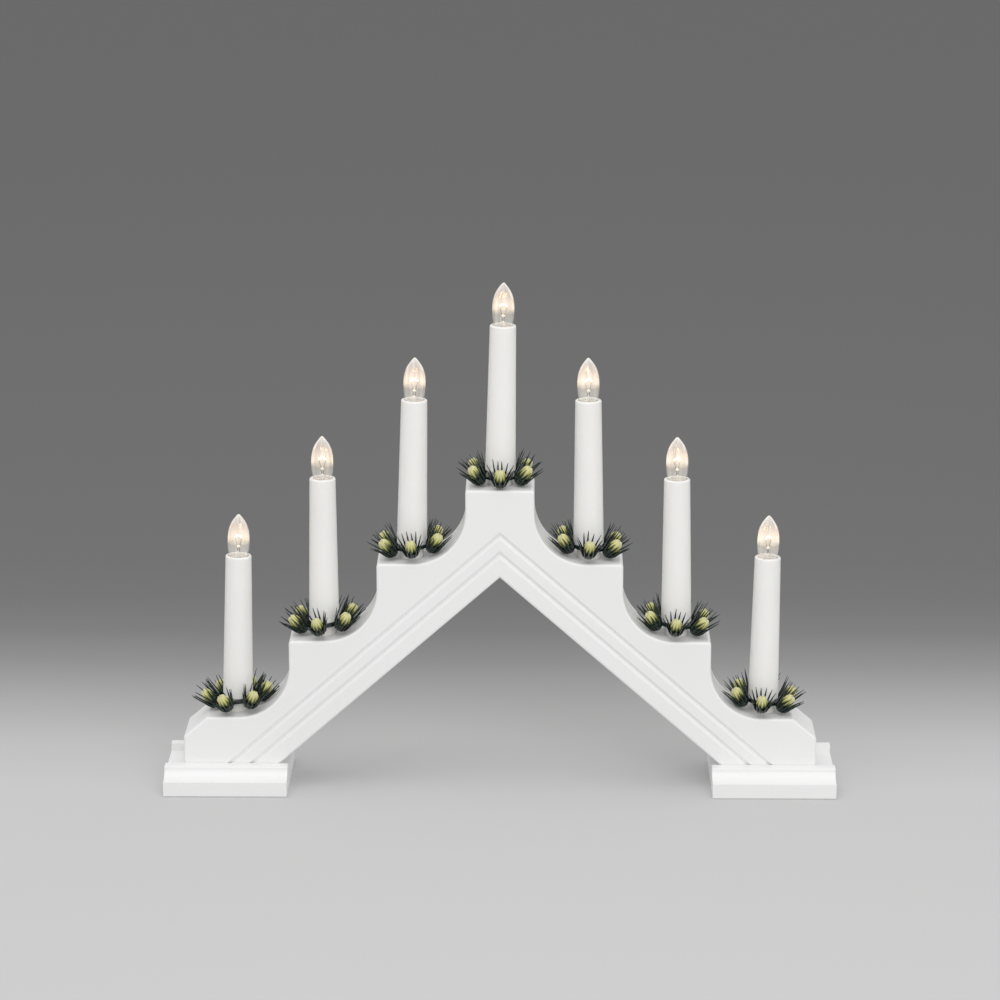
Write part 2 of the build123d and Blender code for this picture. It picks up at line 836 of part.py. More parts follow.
# Clamp bar over the branch of the groove, with a tongue that presses on the lead
clamp_plane = Plane(
    origin=(-clamp_reach, board_thickness / 2, branch_height),
    x_dir=(-1, 0, 0),
    z_dir=(0, 1, 0),
)
with BuildPart() as cord_clamp:
    with BuildSketch(clamp_plane):
        RectangleRounded(clamp_width, clamp_height, clamp_corner_round)
    extrude(amount=clamp_thickness)
    with BuildSketch(clamp_plane):
        Rectangle(clamp_width, clamp_tongue_height)
    extrude(amount=-clamp_tongue_depth)
    for side in (-1, 1):
        with Locations(clamp_plane.offset(clamp_thickness)):
            with Locations((0, side * clamp_screw_spacing / 2)):
                Hole(radius=clamp_screw_radius + clamp_screw_clearance, depth=2 * clamp_thickness)
save(cord_clamp.part, "cord_clamp")

with BuildPart() as clamp_screws:
    for side in (-1, 1):
        with BuildSketch(clamp_plane.offset(clamp_thickness)):
            with Locations((0, side * clamp_screw_spacing / 2)):
                Circle(clamp_screw_head_radius)
        extrude(amount=clamp_screw_head_height)
        with BuildSketch(clamp_plane.offset(clamp_thickness)):
            with Locations((0, side * clamp_screw_spacing / 2)):
                Circle(clamp_screw_radius)
        extrude(amount=clamp_screw_head_height - clamp_screw_length)
save(clamp_screws.part, "clamp_screws")
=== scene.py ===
# %% [markdown]
# An electric candle arch, dressed for its picture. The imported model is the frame: every board,
# foot, holder and wire stands where it says, in metres. This script gives each of them its
# finish, and models the things whose charm is in fine relief: the ribbed bulbs with their
# coiled filaments, the screw caps, and the needle rings with their buds.

# %% Load the frame
import json
import random
from math import cos, pi, radians, sin

import bmesh
import bpy
from mathutils import Matrix, Vector


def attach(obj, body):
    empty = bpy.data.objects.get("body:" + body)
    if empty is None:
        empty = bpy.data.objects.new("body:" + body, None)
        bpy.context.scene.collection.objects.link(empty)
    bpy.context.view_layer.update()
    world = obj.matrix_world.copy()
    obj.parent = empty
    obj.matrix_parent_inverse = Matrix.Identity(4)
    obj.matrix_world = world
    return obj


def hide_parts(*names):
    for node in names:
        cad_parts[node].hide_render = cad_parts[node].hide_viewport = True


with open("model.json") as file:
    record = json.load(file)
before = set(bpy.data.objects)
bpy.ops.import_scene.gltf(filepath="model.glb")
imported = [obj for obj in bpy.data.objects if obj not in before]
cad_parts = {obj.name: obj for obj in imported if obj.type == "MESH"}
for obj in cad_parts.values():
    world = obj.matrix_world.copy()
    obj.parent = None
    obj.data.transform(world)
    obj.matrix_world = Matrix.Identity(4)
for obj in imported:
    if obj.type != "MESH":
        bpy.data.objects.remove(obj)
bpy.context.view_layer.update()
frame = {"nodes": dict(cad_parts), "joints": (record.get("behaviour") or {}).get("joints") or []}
mm = 0.001

# %% [markdown]
# The camera comes first, because every later choice is judged through it. The lens and the
# viewpoint were worked out from straight edges of the arch: it is a long lens, two metres away
# and about forty centimetres above the tallest candle, looking down fifteen degrees, unshifted.

# %% Camera
sensor_width = 36
lens_length = 131.985
camera_spot = (23.27 * mm, -2097.95 * mm, 723.11 * mm)
camera_pitch = 0.25597
camera_yaw = -0.01113

camera_data = bpy.data.cameras.new("camera")
camera_data.sensor_width = sensor_width
camera_data.lens = lens_length
camera = bpy.data.objects.new("camera", camera_data)
bpy.context.scene.collection.objects.link(camera)
camera.location = camera_spot
camera.rotation_euler = (pi / 2 - camera_pitch, 0, -camera_yaw)
bpy.context.scene.camera = camera
print("lens", camera_data.lens, "mm")

# %% [markdown]
# Colours are written as they look on a screen, in hex, and one function turns them into the
# linear values that a shader needs. One more function adds a node to a material with its
# settings and its links, so that each finish below reads as a short recipe.

# %% Colour and node helpers
def linear(hex_colour):
    """Linear red, green, blue and alpha of an sRGB hex colour."""
    channels = [int(hex_colour[i : i + 2], 16) / 255 for i in (1, 3, 5)]
    return tuple(c / 12.92 if c <= 0.04045 else ((c + 0.055) / 1.055) ** 2.4 for c in channels) + (1,)


def add_node(tree, kind, inputs=None, stops=(), **settings):
    """Adds a node with its settings and colour stops, and fills or links its inputs."""
    node = tree.nodes.new(kind)
    for name, value in settings.items():
        setattr(node, name, value)
    for name, value in (inputs or {}).items():
        if isinstance(value, bpy.types.NodeSocket):
            tree.links.new(value, node.inputs[name])
        else:
            node.inputs[name].default_value = value
    if stops:
        for position, _ in stops[1:-1]:
            node.color_ramp.elements.new(position)
        for element, (_, tone) in zip(node.color_ramp.elements, stops):
            element.color = linear(tone)
    return node


def new_material(name):
    """An empty node material with its output and one Principled shader."""
    material = bpy.data.materials.new(name)
    material.use_nodes = True
    tree = material.node_tree
    tree.nodes.clear()
    shader = add_node(tree, "ShaderNodeBsdfPrincipled")
    add_node(tree, "ShaderNodeOutputMaterial", {"Surface": shader.outputs["BSDF"]})
    return material, tree, shader


def set_inputs(shader, **values):
    """Sets a shader's own sockets, with underscores for the spaces in their names."""
    for name, value in values.items():
        shader.inputs[name.replace("_", " ")].default_value = value


print("white is", linear("#ffffff"))

# %% [markdown]
# The set is a long sheet of paper with painted shade on it: pale under and in front of the arch, and
# darkening to a middle grey behind it, where the picture's background darkens as less light reaches it. The
# grade follows the paper's own coordinates, so it stays put from every side. The light is plain and soft: a
# bright even room, with one weak lamp above and one in front. Paper is matt, so it shows the shade and no
# gloss. The painted grade runs from the front of the arch to seventy centimetres behind it.

# %% Floor and light
grade_start, grade_end = -0.02, 0.7
tones = [
    (0.0, "#cbcbcb"), (0.13, "#c1c1c1"), (0.24, "#aeaeae"), (0.36, "#949494"), (0.46, "#828282"),
    (0.57, "#797979"), (0.71, "#757575"), (1.0, "#747474"),
]
floor_reach = 12
room_strength = 0.8

paper, tree, shader = new_material("paper_with_painted_falloff")
place = add_node(tree, "ShaderNodeTexCoord").outputs["Object"]
along = add_node(tree, "ShaderNodeSeparateXYZ", {"Vector": place}).outputs["Y"]
reach = add_node(
    tree,
    "ShaderNodeMapRange",
    {"Value": along, "From Min": grade_start, "From Max": grade_end},
)
# Painted shade: the paper's colour darkens with distance behind the arch, in place of light that falls off
# there.
grade = add_node(tree, "ShaderNodeValToRGB", {"Fac": reach.outputs["Result"]}, tones)
tree.links.new(grade.outputs["Color"], shader.inputs["Base Color"])
set_inputs(shader, Roughness=0.9, Specular_IOR_Level=0.1)

bm = bmesh.new()
bmesh.ops.create_grid(bm, x_segments=2, y_segments=2, size=floor_reach)
floor_mesh = bpy.data.meshes.new("floor")
bm.to_mesh(floor_mesh)
bm.free()
floor = bpy.data.objects.new("floor", floor_mesh)
bpy.context.scene.collection.objects.link(floor)
floor_mesh.materials.append(paper)


def area_light(name, size, power, location, target):
    """A soft square lamp of plain white light that looks at a point."""
    data = bpy.data.lights.new(name, "AREA")
    data.size = size
    data.energy = power
    lamp = bpy.data.objects.new(name, data)
    lamp.location = location
    lamp.rotation_euler = (Vector(target) - Vector(location)).to_track_quat("-Z", "Y").to_euler()
    bpy.context.scene.collection.objects.link(lamp)


area_light("top_box", 1.6, 9, (-0.3, -0.5, 1.9), (0, 0, 0.1))
area_light("front_box", 1.4, 11.2, (0.6, -1.9, 1.0), (0, 0, 0.12))
world = bpy.data.worlds.new("soft_room")
bpy.context.scene.world = world
world.use_nodes = True
sky = world.node_tree.nodes["Background"]
sky.inputs["Color"].default_value = linear("#f4f4f4")
sky.inputs["Strength"].default_value = room_strength
bpy.context.scene.view_settings.view_transform = "Standard"

# %% [markdown]
# The board and the feet are wood under several coats of white satin paint. Paint hides the
# colour of the wood but not its surface: a faint pull of the brush along the arch, and a fine
# orange peel of about a millimetre that only a low light shows. The brush marks are stretched
# along X and lie 0.7 mm apart, and the tone drifts in patches of seven centimetres. To the
# eye this gives a white that is alive but not glossy.

# %% Painted wood
brush_marks_per_metre = (90, 700, 1400)
peel_per_metre = 900
blotches_per_metre = 14
peel_share = 0.35


def painted_wood():
    """White satin paint over wood."""
    material, tree, shader = new_material("white_satin_painted_wood")
    place = add_node(tree, "ShaderNodeTexCoord").outputs["Object"]
    brushed = add_node(tree, "ShaderNodeMapping", {"Vector": place, "Scale": brush_marks_per_metre})
    brush = add_node(
        tree, "ShaderNodeTexNoise", {"Vector": brushed.outputs["Vector"], "Scale": 1, "Detail": 3}
    )
    peel = add_node(tree, "ShaderNodeTexNoise", {"Vector": place, "Scale": peel_per_metre, "Detail": 2})
    blotch = add_node(
        tree, "ShaderNodeTexNoise", {"Vector": place, "Scale": blotches_per_metre, "Detail": 2}
    )
    tone = add_node(tree, "ShaderNodeMix", {"Factor": blotch.outputs["Fac"]}, data_type="RGBA")
    tone.inputs["A"].default_value = linear("#efefee")
    tone.inputs["B"].default_value = linear("#f3f3f3")
    relief = add_node(tree, "ShaderNodeMix", {"Factor": peel_share})
    tree.links.new(brush.outputs["Fac"], relief.inputs["A"])
    tree.links.new(peel.outputs["Fac"], relief.inputs["B"])
    bump = add_node(
        tree,
        "ShaderNodeBump",
        {"Height": relief.outputs["Result"], "Strength": 0.12, "Distance": 0.3 * mm},
    )
    tree.links.new(tone.outputs["Result"], shader.inputs["Base Color"])
    tree.links.new(bump.outputs["Normal"], shader.inputs["Normal"])
    set_inputs(shader, Roughness=0.42, Specular_IOR_Level=0.4)
    return material


def dress(nodes, material):
    """Puts one finish on every slot of the named CAD nodes."""
    for name in nodes:
        mesh = frame["nodes"][name].data
        mesh.materials.clear()
        mesh.materials.append(material)
    print(material.name, "on", len(nodes), "nodes")


dress(["arch_board", "foot_left", "foot_right"], painted_wood())

# %% [markdown]
# The candle tubes and the lamp holders are injection-moulded plastic, white and a little waxy.
# Light goes a short way into such plastic, so its shadows are soft and its rims glow where the
# bulb shines on them. The mould leaves a satin skin whose real grain, about a tenth of a
# millimetre, would vanish at this distance, so it is drawn coarser, at a quarter. The flow of
# the melt leaves faint clouds two centimetres long. Waxy polypropylene looks the softest, ABS
# a little crisper, and the PVC of the wires is plain and closed.

# %% Moulded plastics
flow_clouds_per_metre = 45
cloud_share = 0.96


def moulded_plastic(name, hex_colour, roughness, depth, grain_mm=0.25, relief=0.08):
    """Moulded plastic with a satin skin; depth is how far light wanders in it, in metres."""
    material, tree, shader = new_material(name)
    place = add_node(tree, "ShaderNodeTexCoord").outputs["Object"]
    skin = add_node(
        tree, "ShaderNodeTexNoise", {"Vector": place, "Scale": 1 / (grain_mm * mm), "Detail": 2}
    )
    flow = add_node(
        tree, "ShaderNodeTexNoise", {"Vector": place, "Scale": flow_clouds_per_metre, "Detail": 2}
    )
    tone = add_node(tree, "ShaderNodeMix", {"Factor": flow.outputs["Fac"]}, data_type="RGBA")
    colour = linear(hex_colour)
    tone.inputs["A"].default_value = colour
    tone.inputs["B"].default_value = tuple(c * cloud_share for c in colour[:3]) + (1,)
    bump = add_node(
        tree, "ShaderNodeBump", {"Height": skin.outputs["Fac"], "Strength": relief, "Distance": 0.2 * mm}
    )
    tree.links.new(tone.outputs["Result"], shader.inputs["Base Color"])
    tree.links.new(bump.outputs["Normal"], shader.inputs["Normal"])
    set_inputs(shader, Roughness=roughness, IOR=1.46)
    if depth:
        set_inputs(
            shader,
            Subsurface_Weight=0.35,
            Subsurface_Radius=(1.0, 0.85, 0.7),
            Subsurface_Scale=depth,
        )
    return material


candle_count = 7
numbers = range(1, candle_count + 1)
candle_plastic = moulded_plastic("waxy_white_polypropylene", "#f8f6f3", 0.42, 1.2 * mm)
holder_plastic = moulded_plastic("white_holder_abs", "#f0eee8", 0.38, 0.8 * mm)
wire_plastic = moulded_plastic("white_wire_pvc", "#ebe9e4", 0.35, 0)
dress([f"candle_sleeve_{n}" for n in numbers], candle_plastic)
dress([f"lamp_holder_{n}" for n in numbers] + ["cord_clamp"], holder_plastic)
dress(["series_wires", "feed_wires"], wire_plastic)

# %% [markdown]
# The metal parts are small: brass shells, contacts and caps, and zinc-plated steel screws and
# staples. Plain brass is slightly uneven from drawing and handling, so its roughness varies in
# soft patches of about two millimetres, and its shine looks warm and broken. Zinc keeps a fine
# bright grain of half a millimetre, and looks grey and dry beside it.

# %% Metals
def metal(name, hex_colour, smooth, rough, patch_mm):
    """Metal whose roughness varies in patches of a real size."""
    material, tree, shader = new_material(name)
    place = add_node(tree, "ShaderNodeTexCoord").outputs["Object"]
    patches = add_node(
        tree, "ShaderNodeTexNoise", {"Vector": place, "Scale": 1 / (patch_mm * mm), "Detail": 3}
    )
    sheen = add_node(
        tree, "ShaderNodeMapRange", {"Value": patches.outputs["Fac"], "To Min": smooth, "To Max": rough}
    )
    tree.links.new(sheen.outputs["Result"], shader.inputs["Roughness"])
    set_inputs(shader, Base_Color=linear(hex_colour), Metallic=1.0)
    return material


brass = metal("drawn_brass", "#d9b872", 0.22, 0.38, 2.0)
zinc = metal("zinc_plated_steel", "#c6c8ca", 0.28, 0.42, 0.5)
dress(["holder_shells", "holder_contacts"], brass)
dress(["foot_screws", "clamp_screws", "wire_staples"], zinc)

# %% [markdown]
# Everything below is modelled round one candle's own axis, standing on its own origin, and
# then moved to its place in the arch. The joints of the frame say where that is: each bulb's
# slide starts on the rim of its sleeve, and each ring's hinge lies in the middle of its hoop.

# %% Places of the candles and a helper that finishes a mesh
joints = {joint["name"]: joint for joint in frame["joints"]}
rim_of = {n: Vector(joints[f"bulb_{n}_lift"]["pos_m"]) for n in numbers}
hoop_of = {n: Vector(joints[f"ring_{n}_turn"]["pos_m"]) for n in numbers}
axis_of = {n: Vector(joints[f"ring_{n}_turn"]["axis"]) for n in numbers}
seam_gap = 0.01 * mm


def finish_piece(name, bm, material, body, nodes, place, smooth=True):
    """Turns a bmesh into a piece of the model that rides on a body and replaces CAD nodes."""
    bmesh.ops.transform(bm, matrix=place, verts=bm.verts)
    bmesh.ops.recalc_face_normals(bm, faces=bm.faces)
    for face in bm.faces:
        face.smooth = smooth
    mesh = bpy.data.meshes.new(name)
    bm.to_mesh(mesh)
    bm.free()
    mesh.materials.append(material)
    piece = bpy.data.objects.new(name, mesh)
    bpy.context.scene.collection.objects.link(piece)
    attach(piece, body)
    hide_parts(*nodes)
    return piece


def spun(bm, outline, steps):
    """Spins an outline of (radius, height) points in millimetres about the Z axis."""
    verts = [bm.verts.new((radius * mm, 0, height * mm)) for radius, height in outline]
    edges = [bm.edges.new(pair) for pair in zip(verts, verts[1:])]
    bmesh.ops.spin(
        bm,
        geom=verts + edges,
        cent=(0, 0, 0),
        axis=(0, 0, 1),
        angle=2 * pi,
        steps=steps,
        use_merge=True,
    )
    bmesh.ops.remove_doubles(bm, verts=bm.verts, dist=seam_gap)


print("rims", [round(rim_of[n].z, 4) for n in numbers])

# %% [markdown]
# The bulb is a candle-shaped envelope of clear glass, with broad ribs that run up to the tip.
# They break the lamp's light into bright upright bars. The outline is spun in
# twenty-eight steps, every other one drawn in, and subdivision rounds the ribs off.

# %% Ribbed glass bulb
bulb_outline = [
    (4.1, -6.5), (4.1, -5.0), (4.9, -2.4), (5.66, 0.0), (6.32, 3.4), (6.66, 7.0), (6.76, 10.4), (6.5, 14.0),
    (5.8, 17.3), (4.5, 20.1), (2.95, 22.3), (1.55, 24.0), (0.6, 25.05), (0.0, 25.2),
]
rib_steps = 28
rib_depth_share = 0.055
rib_start, rib_full = 5.5 * mm, 10.0 * mm
bulb_height = bulb_outline[-1][1] * mm


def rib_of(vert):
    """Which of the spin's steps a point lies on."""
    return round(Vector((vert.co.x, vert.co.y)).angle_signed(Vector((1, 0)), 0) / (2 * pi) * rib_steps)


def ribbed_bulb():
    """Envelope with ribs that fade in above the clear lower part, in its own frame."""
    bm = bmesh.new()
    spun(bm, bulb_outline, rib_steps)
    for vert in bm.verts:
        fade = min(max((vert.co.z - rib_start) / (rib_full - rib_start), 0), 1)
        if rib_of(vert) % 2:
            vert.co.x *= 1 - rib_depth_share * fade
            vert.co.y *= 1 - rib_depth_share * fade
    return bm


print("ribs on a bulb", rib_steps // 2)

# %% [markdown]
# A lit bulb of this kind shows three zones. The clear foot of the glass is a warm grey, with
# the mount and the leads in it. Level with the filament the ribs fill with light, from a sharp
# lower edge, and above that the glow thins out to the tip. The zones follow a height that
# each bulb's mesh carries, so one finish serves all seven. The ribs differ in brightness, each
# by its own seeded amount, as ribs of real glass catch the filament or miss it.

# %% Glass of a lit bulb
zones = [
    (0.00, "#868584"), (0.22, "#8d8a85"), (0.29, "#8f877c"), (0.35, "#d3c4ae"), (0.42, "#eadcca"),
    (0.54, "#dccbb9"), (0.68, "#bcab9d"), (0.84, "#afa8a2"), (1.00, "#c0bebb"),
]
dimmest_rib, brightest_rib = 0.66, 1.16
glow_strength = 0.29


def lit_glass():
    """Clear soda glass whose ribs carry the light of the filament."""
    material, tree, shader = new_material("pressed_soda_glass_lit")
    height = add_node(tree, "ShaderNodeAttribute", attribute_name="height_up").outputs["Fac"]
    facet = add_node(tree, "ShaderNodeAttribute", attribute_name="facet_light").outputs["Fac"]
    share = add_node(tree, "ShaderNodeMapRange", {"Value": height, "From Max": bulb_height})
    glow = add_node(tree, "ShaderNodeValToRGB", {"Fac": share.outputs["Result"]}, zones)
    bars = add_node(
        tree, "ShaderNodeMapRange", {"Value": facet, "To Min": dimmest_rib, "To Max": brightest_rib}
    )
    bright = add_node(
        tree,
        "ShaderNodeVectorMath",
        {0: glow.outputs["Color"], "Scale": bars.outputs["Result"]},
        operation="SCALE",
    )
    tree.links.new(bright.outputs["Vector"], shader.inputs["Emission Color"])
    set_inputs(
        shader,
        Base_Color=linear("#fffdf9"),
        Roughness=0.02,
        IOR=1.45,
        Transmission_Weight=1.0,
        Emission_Strength=glow_strength,
    )
    return material


glass = lit_glass()
print(glass.name, "glows in", len(zones), "tones")

# %% [markdown]
# Each bulb stands on the rim of its sleeve and leans with its candle, and is turned seventeen
# degrees further than its neighbour, so that the two don't show the same ribs. Its glass is a
# thin shell and not a lump, so a modifier gives the envelope half a millimetre of wall, and two
# rounds of subdivision soften the ribs.

# %% Bulbs in their places
glass_wall = 0.5 * mm
bulb_turn = 17
sparkle = random.Random(5)


def candle_place(n, turn=0):
    """Where a piece of bulb n goes: on the rim of its sleeve, in line with its candle."""
    line = Vector(joints[f"bulb_{n}_lift"]["axis"])
    lean = Vector((0, 0, 1)).rotation_difference(line).to_matrix().to_4x4()
    return Matrix.Translation(rim_of[n]) @ lean @ Matrix.Rotation(radians(turn), 4, "Z")


for n in numbers:
    bm = ribbed_bulb()
    height_layer = bm.verts.layers.float.new("height_up")
    facet_layer = bm.verts.layers.float.new("facet_light")
    facet_light = [sparkle.random() for step in range(rib_steps)]
    for vert in bm.verts:
        vert[height_layer] = vert.co.z
        vert[facet_layer] = facet_light[rib_of(vert) % rib_steps]
    bulb = finish_piece(
        f"ribbed_bulb_{n}",
        bm,
        glass,
        f"bulb_{n}",
        [f"bulb_glass_{n}"],
        candle_place(n, bulb_turn * n),
    )
    wall = bulb.modifiers.new("wall", "SOLIDIFY")
    wall.thickness = glass_wall
    wall.offset = -1
    rounding = bulb.modifiers.new("rounding", "SUBSURF")
    rounding.levels = rounding.render_levels = 2
print("bulb height above its rim", round(bulb_height / mm, 1), "mm")

# %% [markdown]
# Inside the glass a small press mount holds two leads through a bead, and between their ends
# hangs a coiled filament. The coil is a ring of five points spun about X while it moves along
# X, which draws a real helix, and it is then bowed up a little, as hot wire bows. The wire is
# drawn about five times as thick as real tungsten, which would be lost in the picture.

# %% Filament and mount
filament_half_span = 2.2 * mm
filament_height = 11.0 * mm
filament_rise = 1.2 * mm
coil_radius = 0.42 * mm
coil_wire = 0.09 * mm
coil_turns = 11
filament_turn, first_filament_turn = 9, -30
coil_steps_per_turn = 10
wire_sides = 5


def coiled_filament():
    """Helix of fine wire, bowed between the leads."""
    bm = bmesh.new()
    ring = bmesh.ops.create_circle(bm, segments=wire_sides, radius=coil_wire)["verts"]
    bmesh.ops.rotate(bm, verts=ring, matrix=Matrix.Rotation(pi / 2, 3, "X"))
    bmesh.ops.translate(bm, verts=ring, vec=(-filament_half_span, 0, coil_radius))
    steps = coil_turns * coil_steps_per_turn
    bmesh.ops.spin(
        bm,
        geom=ring + list({e for v in ring for e in v.link_edges}),
        cent=(0, 0, 0),
        axis=(1, 0, 0),
        dvec=(2 * filament_half_span / steps, 0, 0),
        angle=2 * pi * coil_turns,
        steps=steps,
    )
    for vert in bm.verts:
        along = vert.co.x / filament_half_span
        vert.co.z += filament_height + filament_rise * (1 - min(along * along, 1))
    return bm


lead_radius = 0.2
lead_sides = 8
lead_foot, lead_bend, lead_tip = Vector((0.4, 0, 1.0)), Vector((0.7, 0, 5.4)), Vector((2.2, 0, 11.2))


def thin_rod(bm, start, end):
    """One straight run of a lead between two points in millimetres."""
    start, end = start * mm, end * mm
    made = bmesh.ops.create_cone(
        bm,
        cap_ends=True,
        segments=lead_sides,
        radius1=lead_radius * mm,
        radius2=lead_radius * mm,
        depth=(end - start).length,
    )["verts"]
    turn = (end - start).to_track_quat("Z", "Y").to_matrix().to_4x4()
    bmesh.ops.transform(bm, matrix=Matrix.Translation((start + end) / 2) @ turn, verts=made)


def leads():
    """The two leads, from the mount out to the filament."""
    bm = bmesh.new()
    for side in (-1, 1):
        foot, bend, tip = (Vector((side * p.x, p.y, p.z)) for p in (lead_foot, lead_bend, lead_tip))
        thin_rod(bm, foot, bend)
        thin_rod(bm, bend, tip)
    return bm


mount_outline = [
    (0, -6.6), (2.9, -6.6), (3.0, -6.0), (1.6, -4.6), (1.25, -3.0), (1.15, 0.0), (0.9, 1.8), (0.4, 2.5),
    (0, 2.6),
]
mount_steps, bead_steps = 20, 16
bead_outline = [(0, 4.5), (0.6, 4.6), (1.05, 5.0), (1.2, 5.4), (1.05, 5.8), (0.6, 6.2), (0, 6.3)]


def mount_and_bead():
    """Pressed glass mount and the bead that holds the leads apart."""
    bm = bmesh.new()
    spun(bm, mount_outline, mount_steps)
    spun(bm, bead_outline, bead_steps)
    return bm


print("coil of", coil_turns, "turns,", round(2 * coil_radius / mm, 2), "mm across")

# %% [markdown]
# The wire glows a warm white that hides its own surface, although drawn tungsten has faint
# marks under a millimetre long. The leads have gone brown from heat, which draws them as dark
# lines against the glow, and the mount and bead are milky pressed glass that picks it up.

# %% Finishes inside the bulb
wire_marks_per_metre = 1500
glowing_wire, tree, shader = new_material("glowing_tungsten")
set_inputs(shader, Base_Color=linear("#ffdca0"), Emission_Color=linear("#ffcf8a"), Emission_Strength=10.0)
place = add_node(tree, "ShaderNodeTexCoord").outputs["Object"]
marks = add_node(tree, "ShaderNodeTexNoise", {"Vector": place, "Scale": wire_marks_per_metre})
sheen = add_node(
    tree, "ShaderNodeMapRange", {"Value": marks.outputs["Fac"], "To Min": 0.3, "To Max": 0.5}
)
tree.links.new(sheen.outputs["Result"], shader.inputs["Roughness"])
lead_wire = metal("oxidised_lead_wire", "#4d3a2d", 0.3, 0.5, 0.4)
bead_glass = moulded_plastic("milky_bead_glass", "#f2efea", 0.15, 0.5 * mm, 0.6, 0.02)

for n in numbers:
    upright = candle_place(n, filament_turn * n + first_filament_turn)
    body, stands_for = f"bulb_{n}", [f"bulb_filament_{n}"]
    coil = finish_piece(f"filament_{n}", coiled_filament(), glowing_wire, body, stands_for, upright)
    pair = finish_piece(f"leads_{n}", leads(), lead_wire, body, stands_for, upright)
    mount = finish_piece(
        f"mount_and_bead_{n}", mount_and_bead(), bead_glass, body, stands_for, upright
    )
print("filament", round(2 * filament_half_span / mm, 1), "mm wide")

# %% [markdown]
# Below the glass sits an E10 cap of thin brass, rolled with a round thread. One turn of the
# profile is a half wave as tall as the pitch. It is spun about Z and lifted as it turns, which
# makes the helix. A plain collar closes it above, and a cone and a soldered contact below.
# Thin brass looks yellow and soft, and the solder is a dull grey blob.

# %% Screw caps
cap_pitch = 1.81 * mm
cap_crest, cap_root = 4.72 * mm, 4.3 * mm
cap_bottom = -12.6 * mm
thread_turns = 3
thread_steps_per_turn = 24
wave_parts = 4
collar_outline = [(4.3, -4.9), (4.7, -4.9), (4.7, -6.0), (4.3, -6.4)]
cone_outline = [(4.3, -12.0), (4.3, -12.9), (3.3, -13.9), (0, -13.9)]
contact_outline = [(0, -14.5), (1.1, -14.4), (1.6, -14.1), (1.7, -13.8), (0, -13.8)]
cap_steps, contact_steps = 24, 20
thread_seam_gap = 0.02 * mm


def threaded_cap():
    """Rolled brass thread between a collar and a cone."""
    bm = bmesh.new()
    wave = []
    for step in range(wave_parts + 1):
        reach = cap_root + (cap_crest - cap_root) * sin(pi * step / wave_parts)
        wave.append(bm.verts.new((reach, 0, cap_bottom + cap_pitch * step / wave_parts)))
    edges = [bm.edges.new(pair) for pair in zip(wave, wave[1:])]
    bmesh.ops.spin(
        bm,
        geom=wave + edges,
        cent=(0, 0, 0),
        axis=(0, 0, 1),
        dvec=(0, 0, cap_pitch / thread_steps_per_turn),
        angle=2 * pi * thread_turns,
        steps=thread_turns * thread_steps_per_turn,
    )
    bmesh.ops.remove_doubles(bm, verts=bm.verts, dist=thread_seam_gap)
    spun(bm, collar_outline, cap_steps)
    spun(bm, cone_outline, cap_steps)
    return bm


def cap_contact():
    """Dome of solder under the cap."""
    bm = bmesh.new()
    spun(bm, contact_outline, contact_steps)
    return bm


solder = metal("tin_solder", "#b9babb", 0.3, 0.5, 0.6)
for n in numbers:
    upright = candle_place(n)
    body, stands_for = f"bulb_{n}", [f"bulb_cap_{n}"]
    cap = finish_piece(f"screw_cap_{n}", threaded_cap(), brass, body, stands_for, upright)
    dome = finish_piece(f"cap_contact_{n}", cap_contact(), solder, body, stands_for, upright)
print("thread", round(cap_pitch / mm, 2), "mm pitch")

# %% [markdown]
# A needle ring is a moulded hoop with six tufts that lean outwards. On the real one each tuft
# is a round cup of ribs, and every rib runs on past the mouth as a long thin needle. So a rib
# and its needle are one piece here too: a small square is extruded from station to station,
# out along the cup and up to a fine tip. Each station is a reach from the tuft's axis, a height,
# and half the square's width from corner to corner, in millimetres.

# %% Measures of a needle ring
tuft_count = 6
tuft_reach, tuft_elevation = 11.6, 50.0
hoop_outline = [
    (7.4, 3.5), (7.6, 3.4), (9.9, 3.4), (10.1, 3.6), (10.1, 4.8), (9.9, 5.0), (7.6, 5.0), (7.4, 4.9),
    (7.4, 3.5),
]
cup_outline = [
    (0.0, 0.0), (1.3, 0.0), (1.9, 0.2), (2.8, 1.1), (3.5, 2.3), (4.0, 4.0), (4.25, 5.6), (3.9, 5.9),
    (3.6, 5.0), (2.9, 3.4), (2.4, 2.7), (0.0, 2.6),
]
hoop_steps, cup_steps = 48, 20
cup_foot_radius = cup_outline[2][0]
needle_count = 13
needle_stations = [
    (2.0, 0.5, 0.34), (3.5, 2.0, 0.58), (4.4, 4.6, 0.62), (4.9, 7.4, 0.52), (5.6, 11.6, 0.4),
    (6.1, 16.4, 0.14),
]
mouth_height, tip_height = needle_stations[2][1], needle_stations[-1][1]
hoop_rise = 4.2 * mm
ring_turns = {1: -24, 2: -10, 3: 1, 4: 0, 5: 0, 6: -3, 7: -7}
print("needles on a tuft", needle_count, "and on a ring", tuft_count * needle_count)

# %% [markdown]
# Moulded needles never stand alike once they have been packed and handled. A seeded difference
# in lean, length and spread keeps them apart, and they fan out more to the sides of a tuft than
# across it. The seed makes every run draw the same needles.

# %% Needles, tufts and rings
free_length = 12
needle_fan = 2.1
lean_limit = 0.16
shortest, longest = 0.8, 1.06
narrowest, widest = -0.45, 0.5
around_limit = 0.05
wobble = random.Random(11)


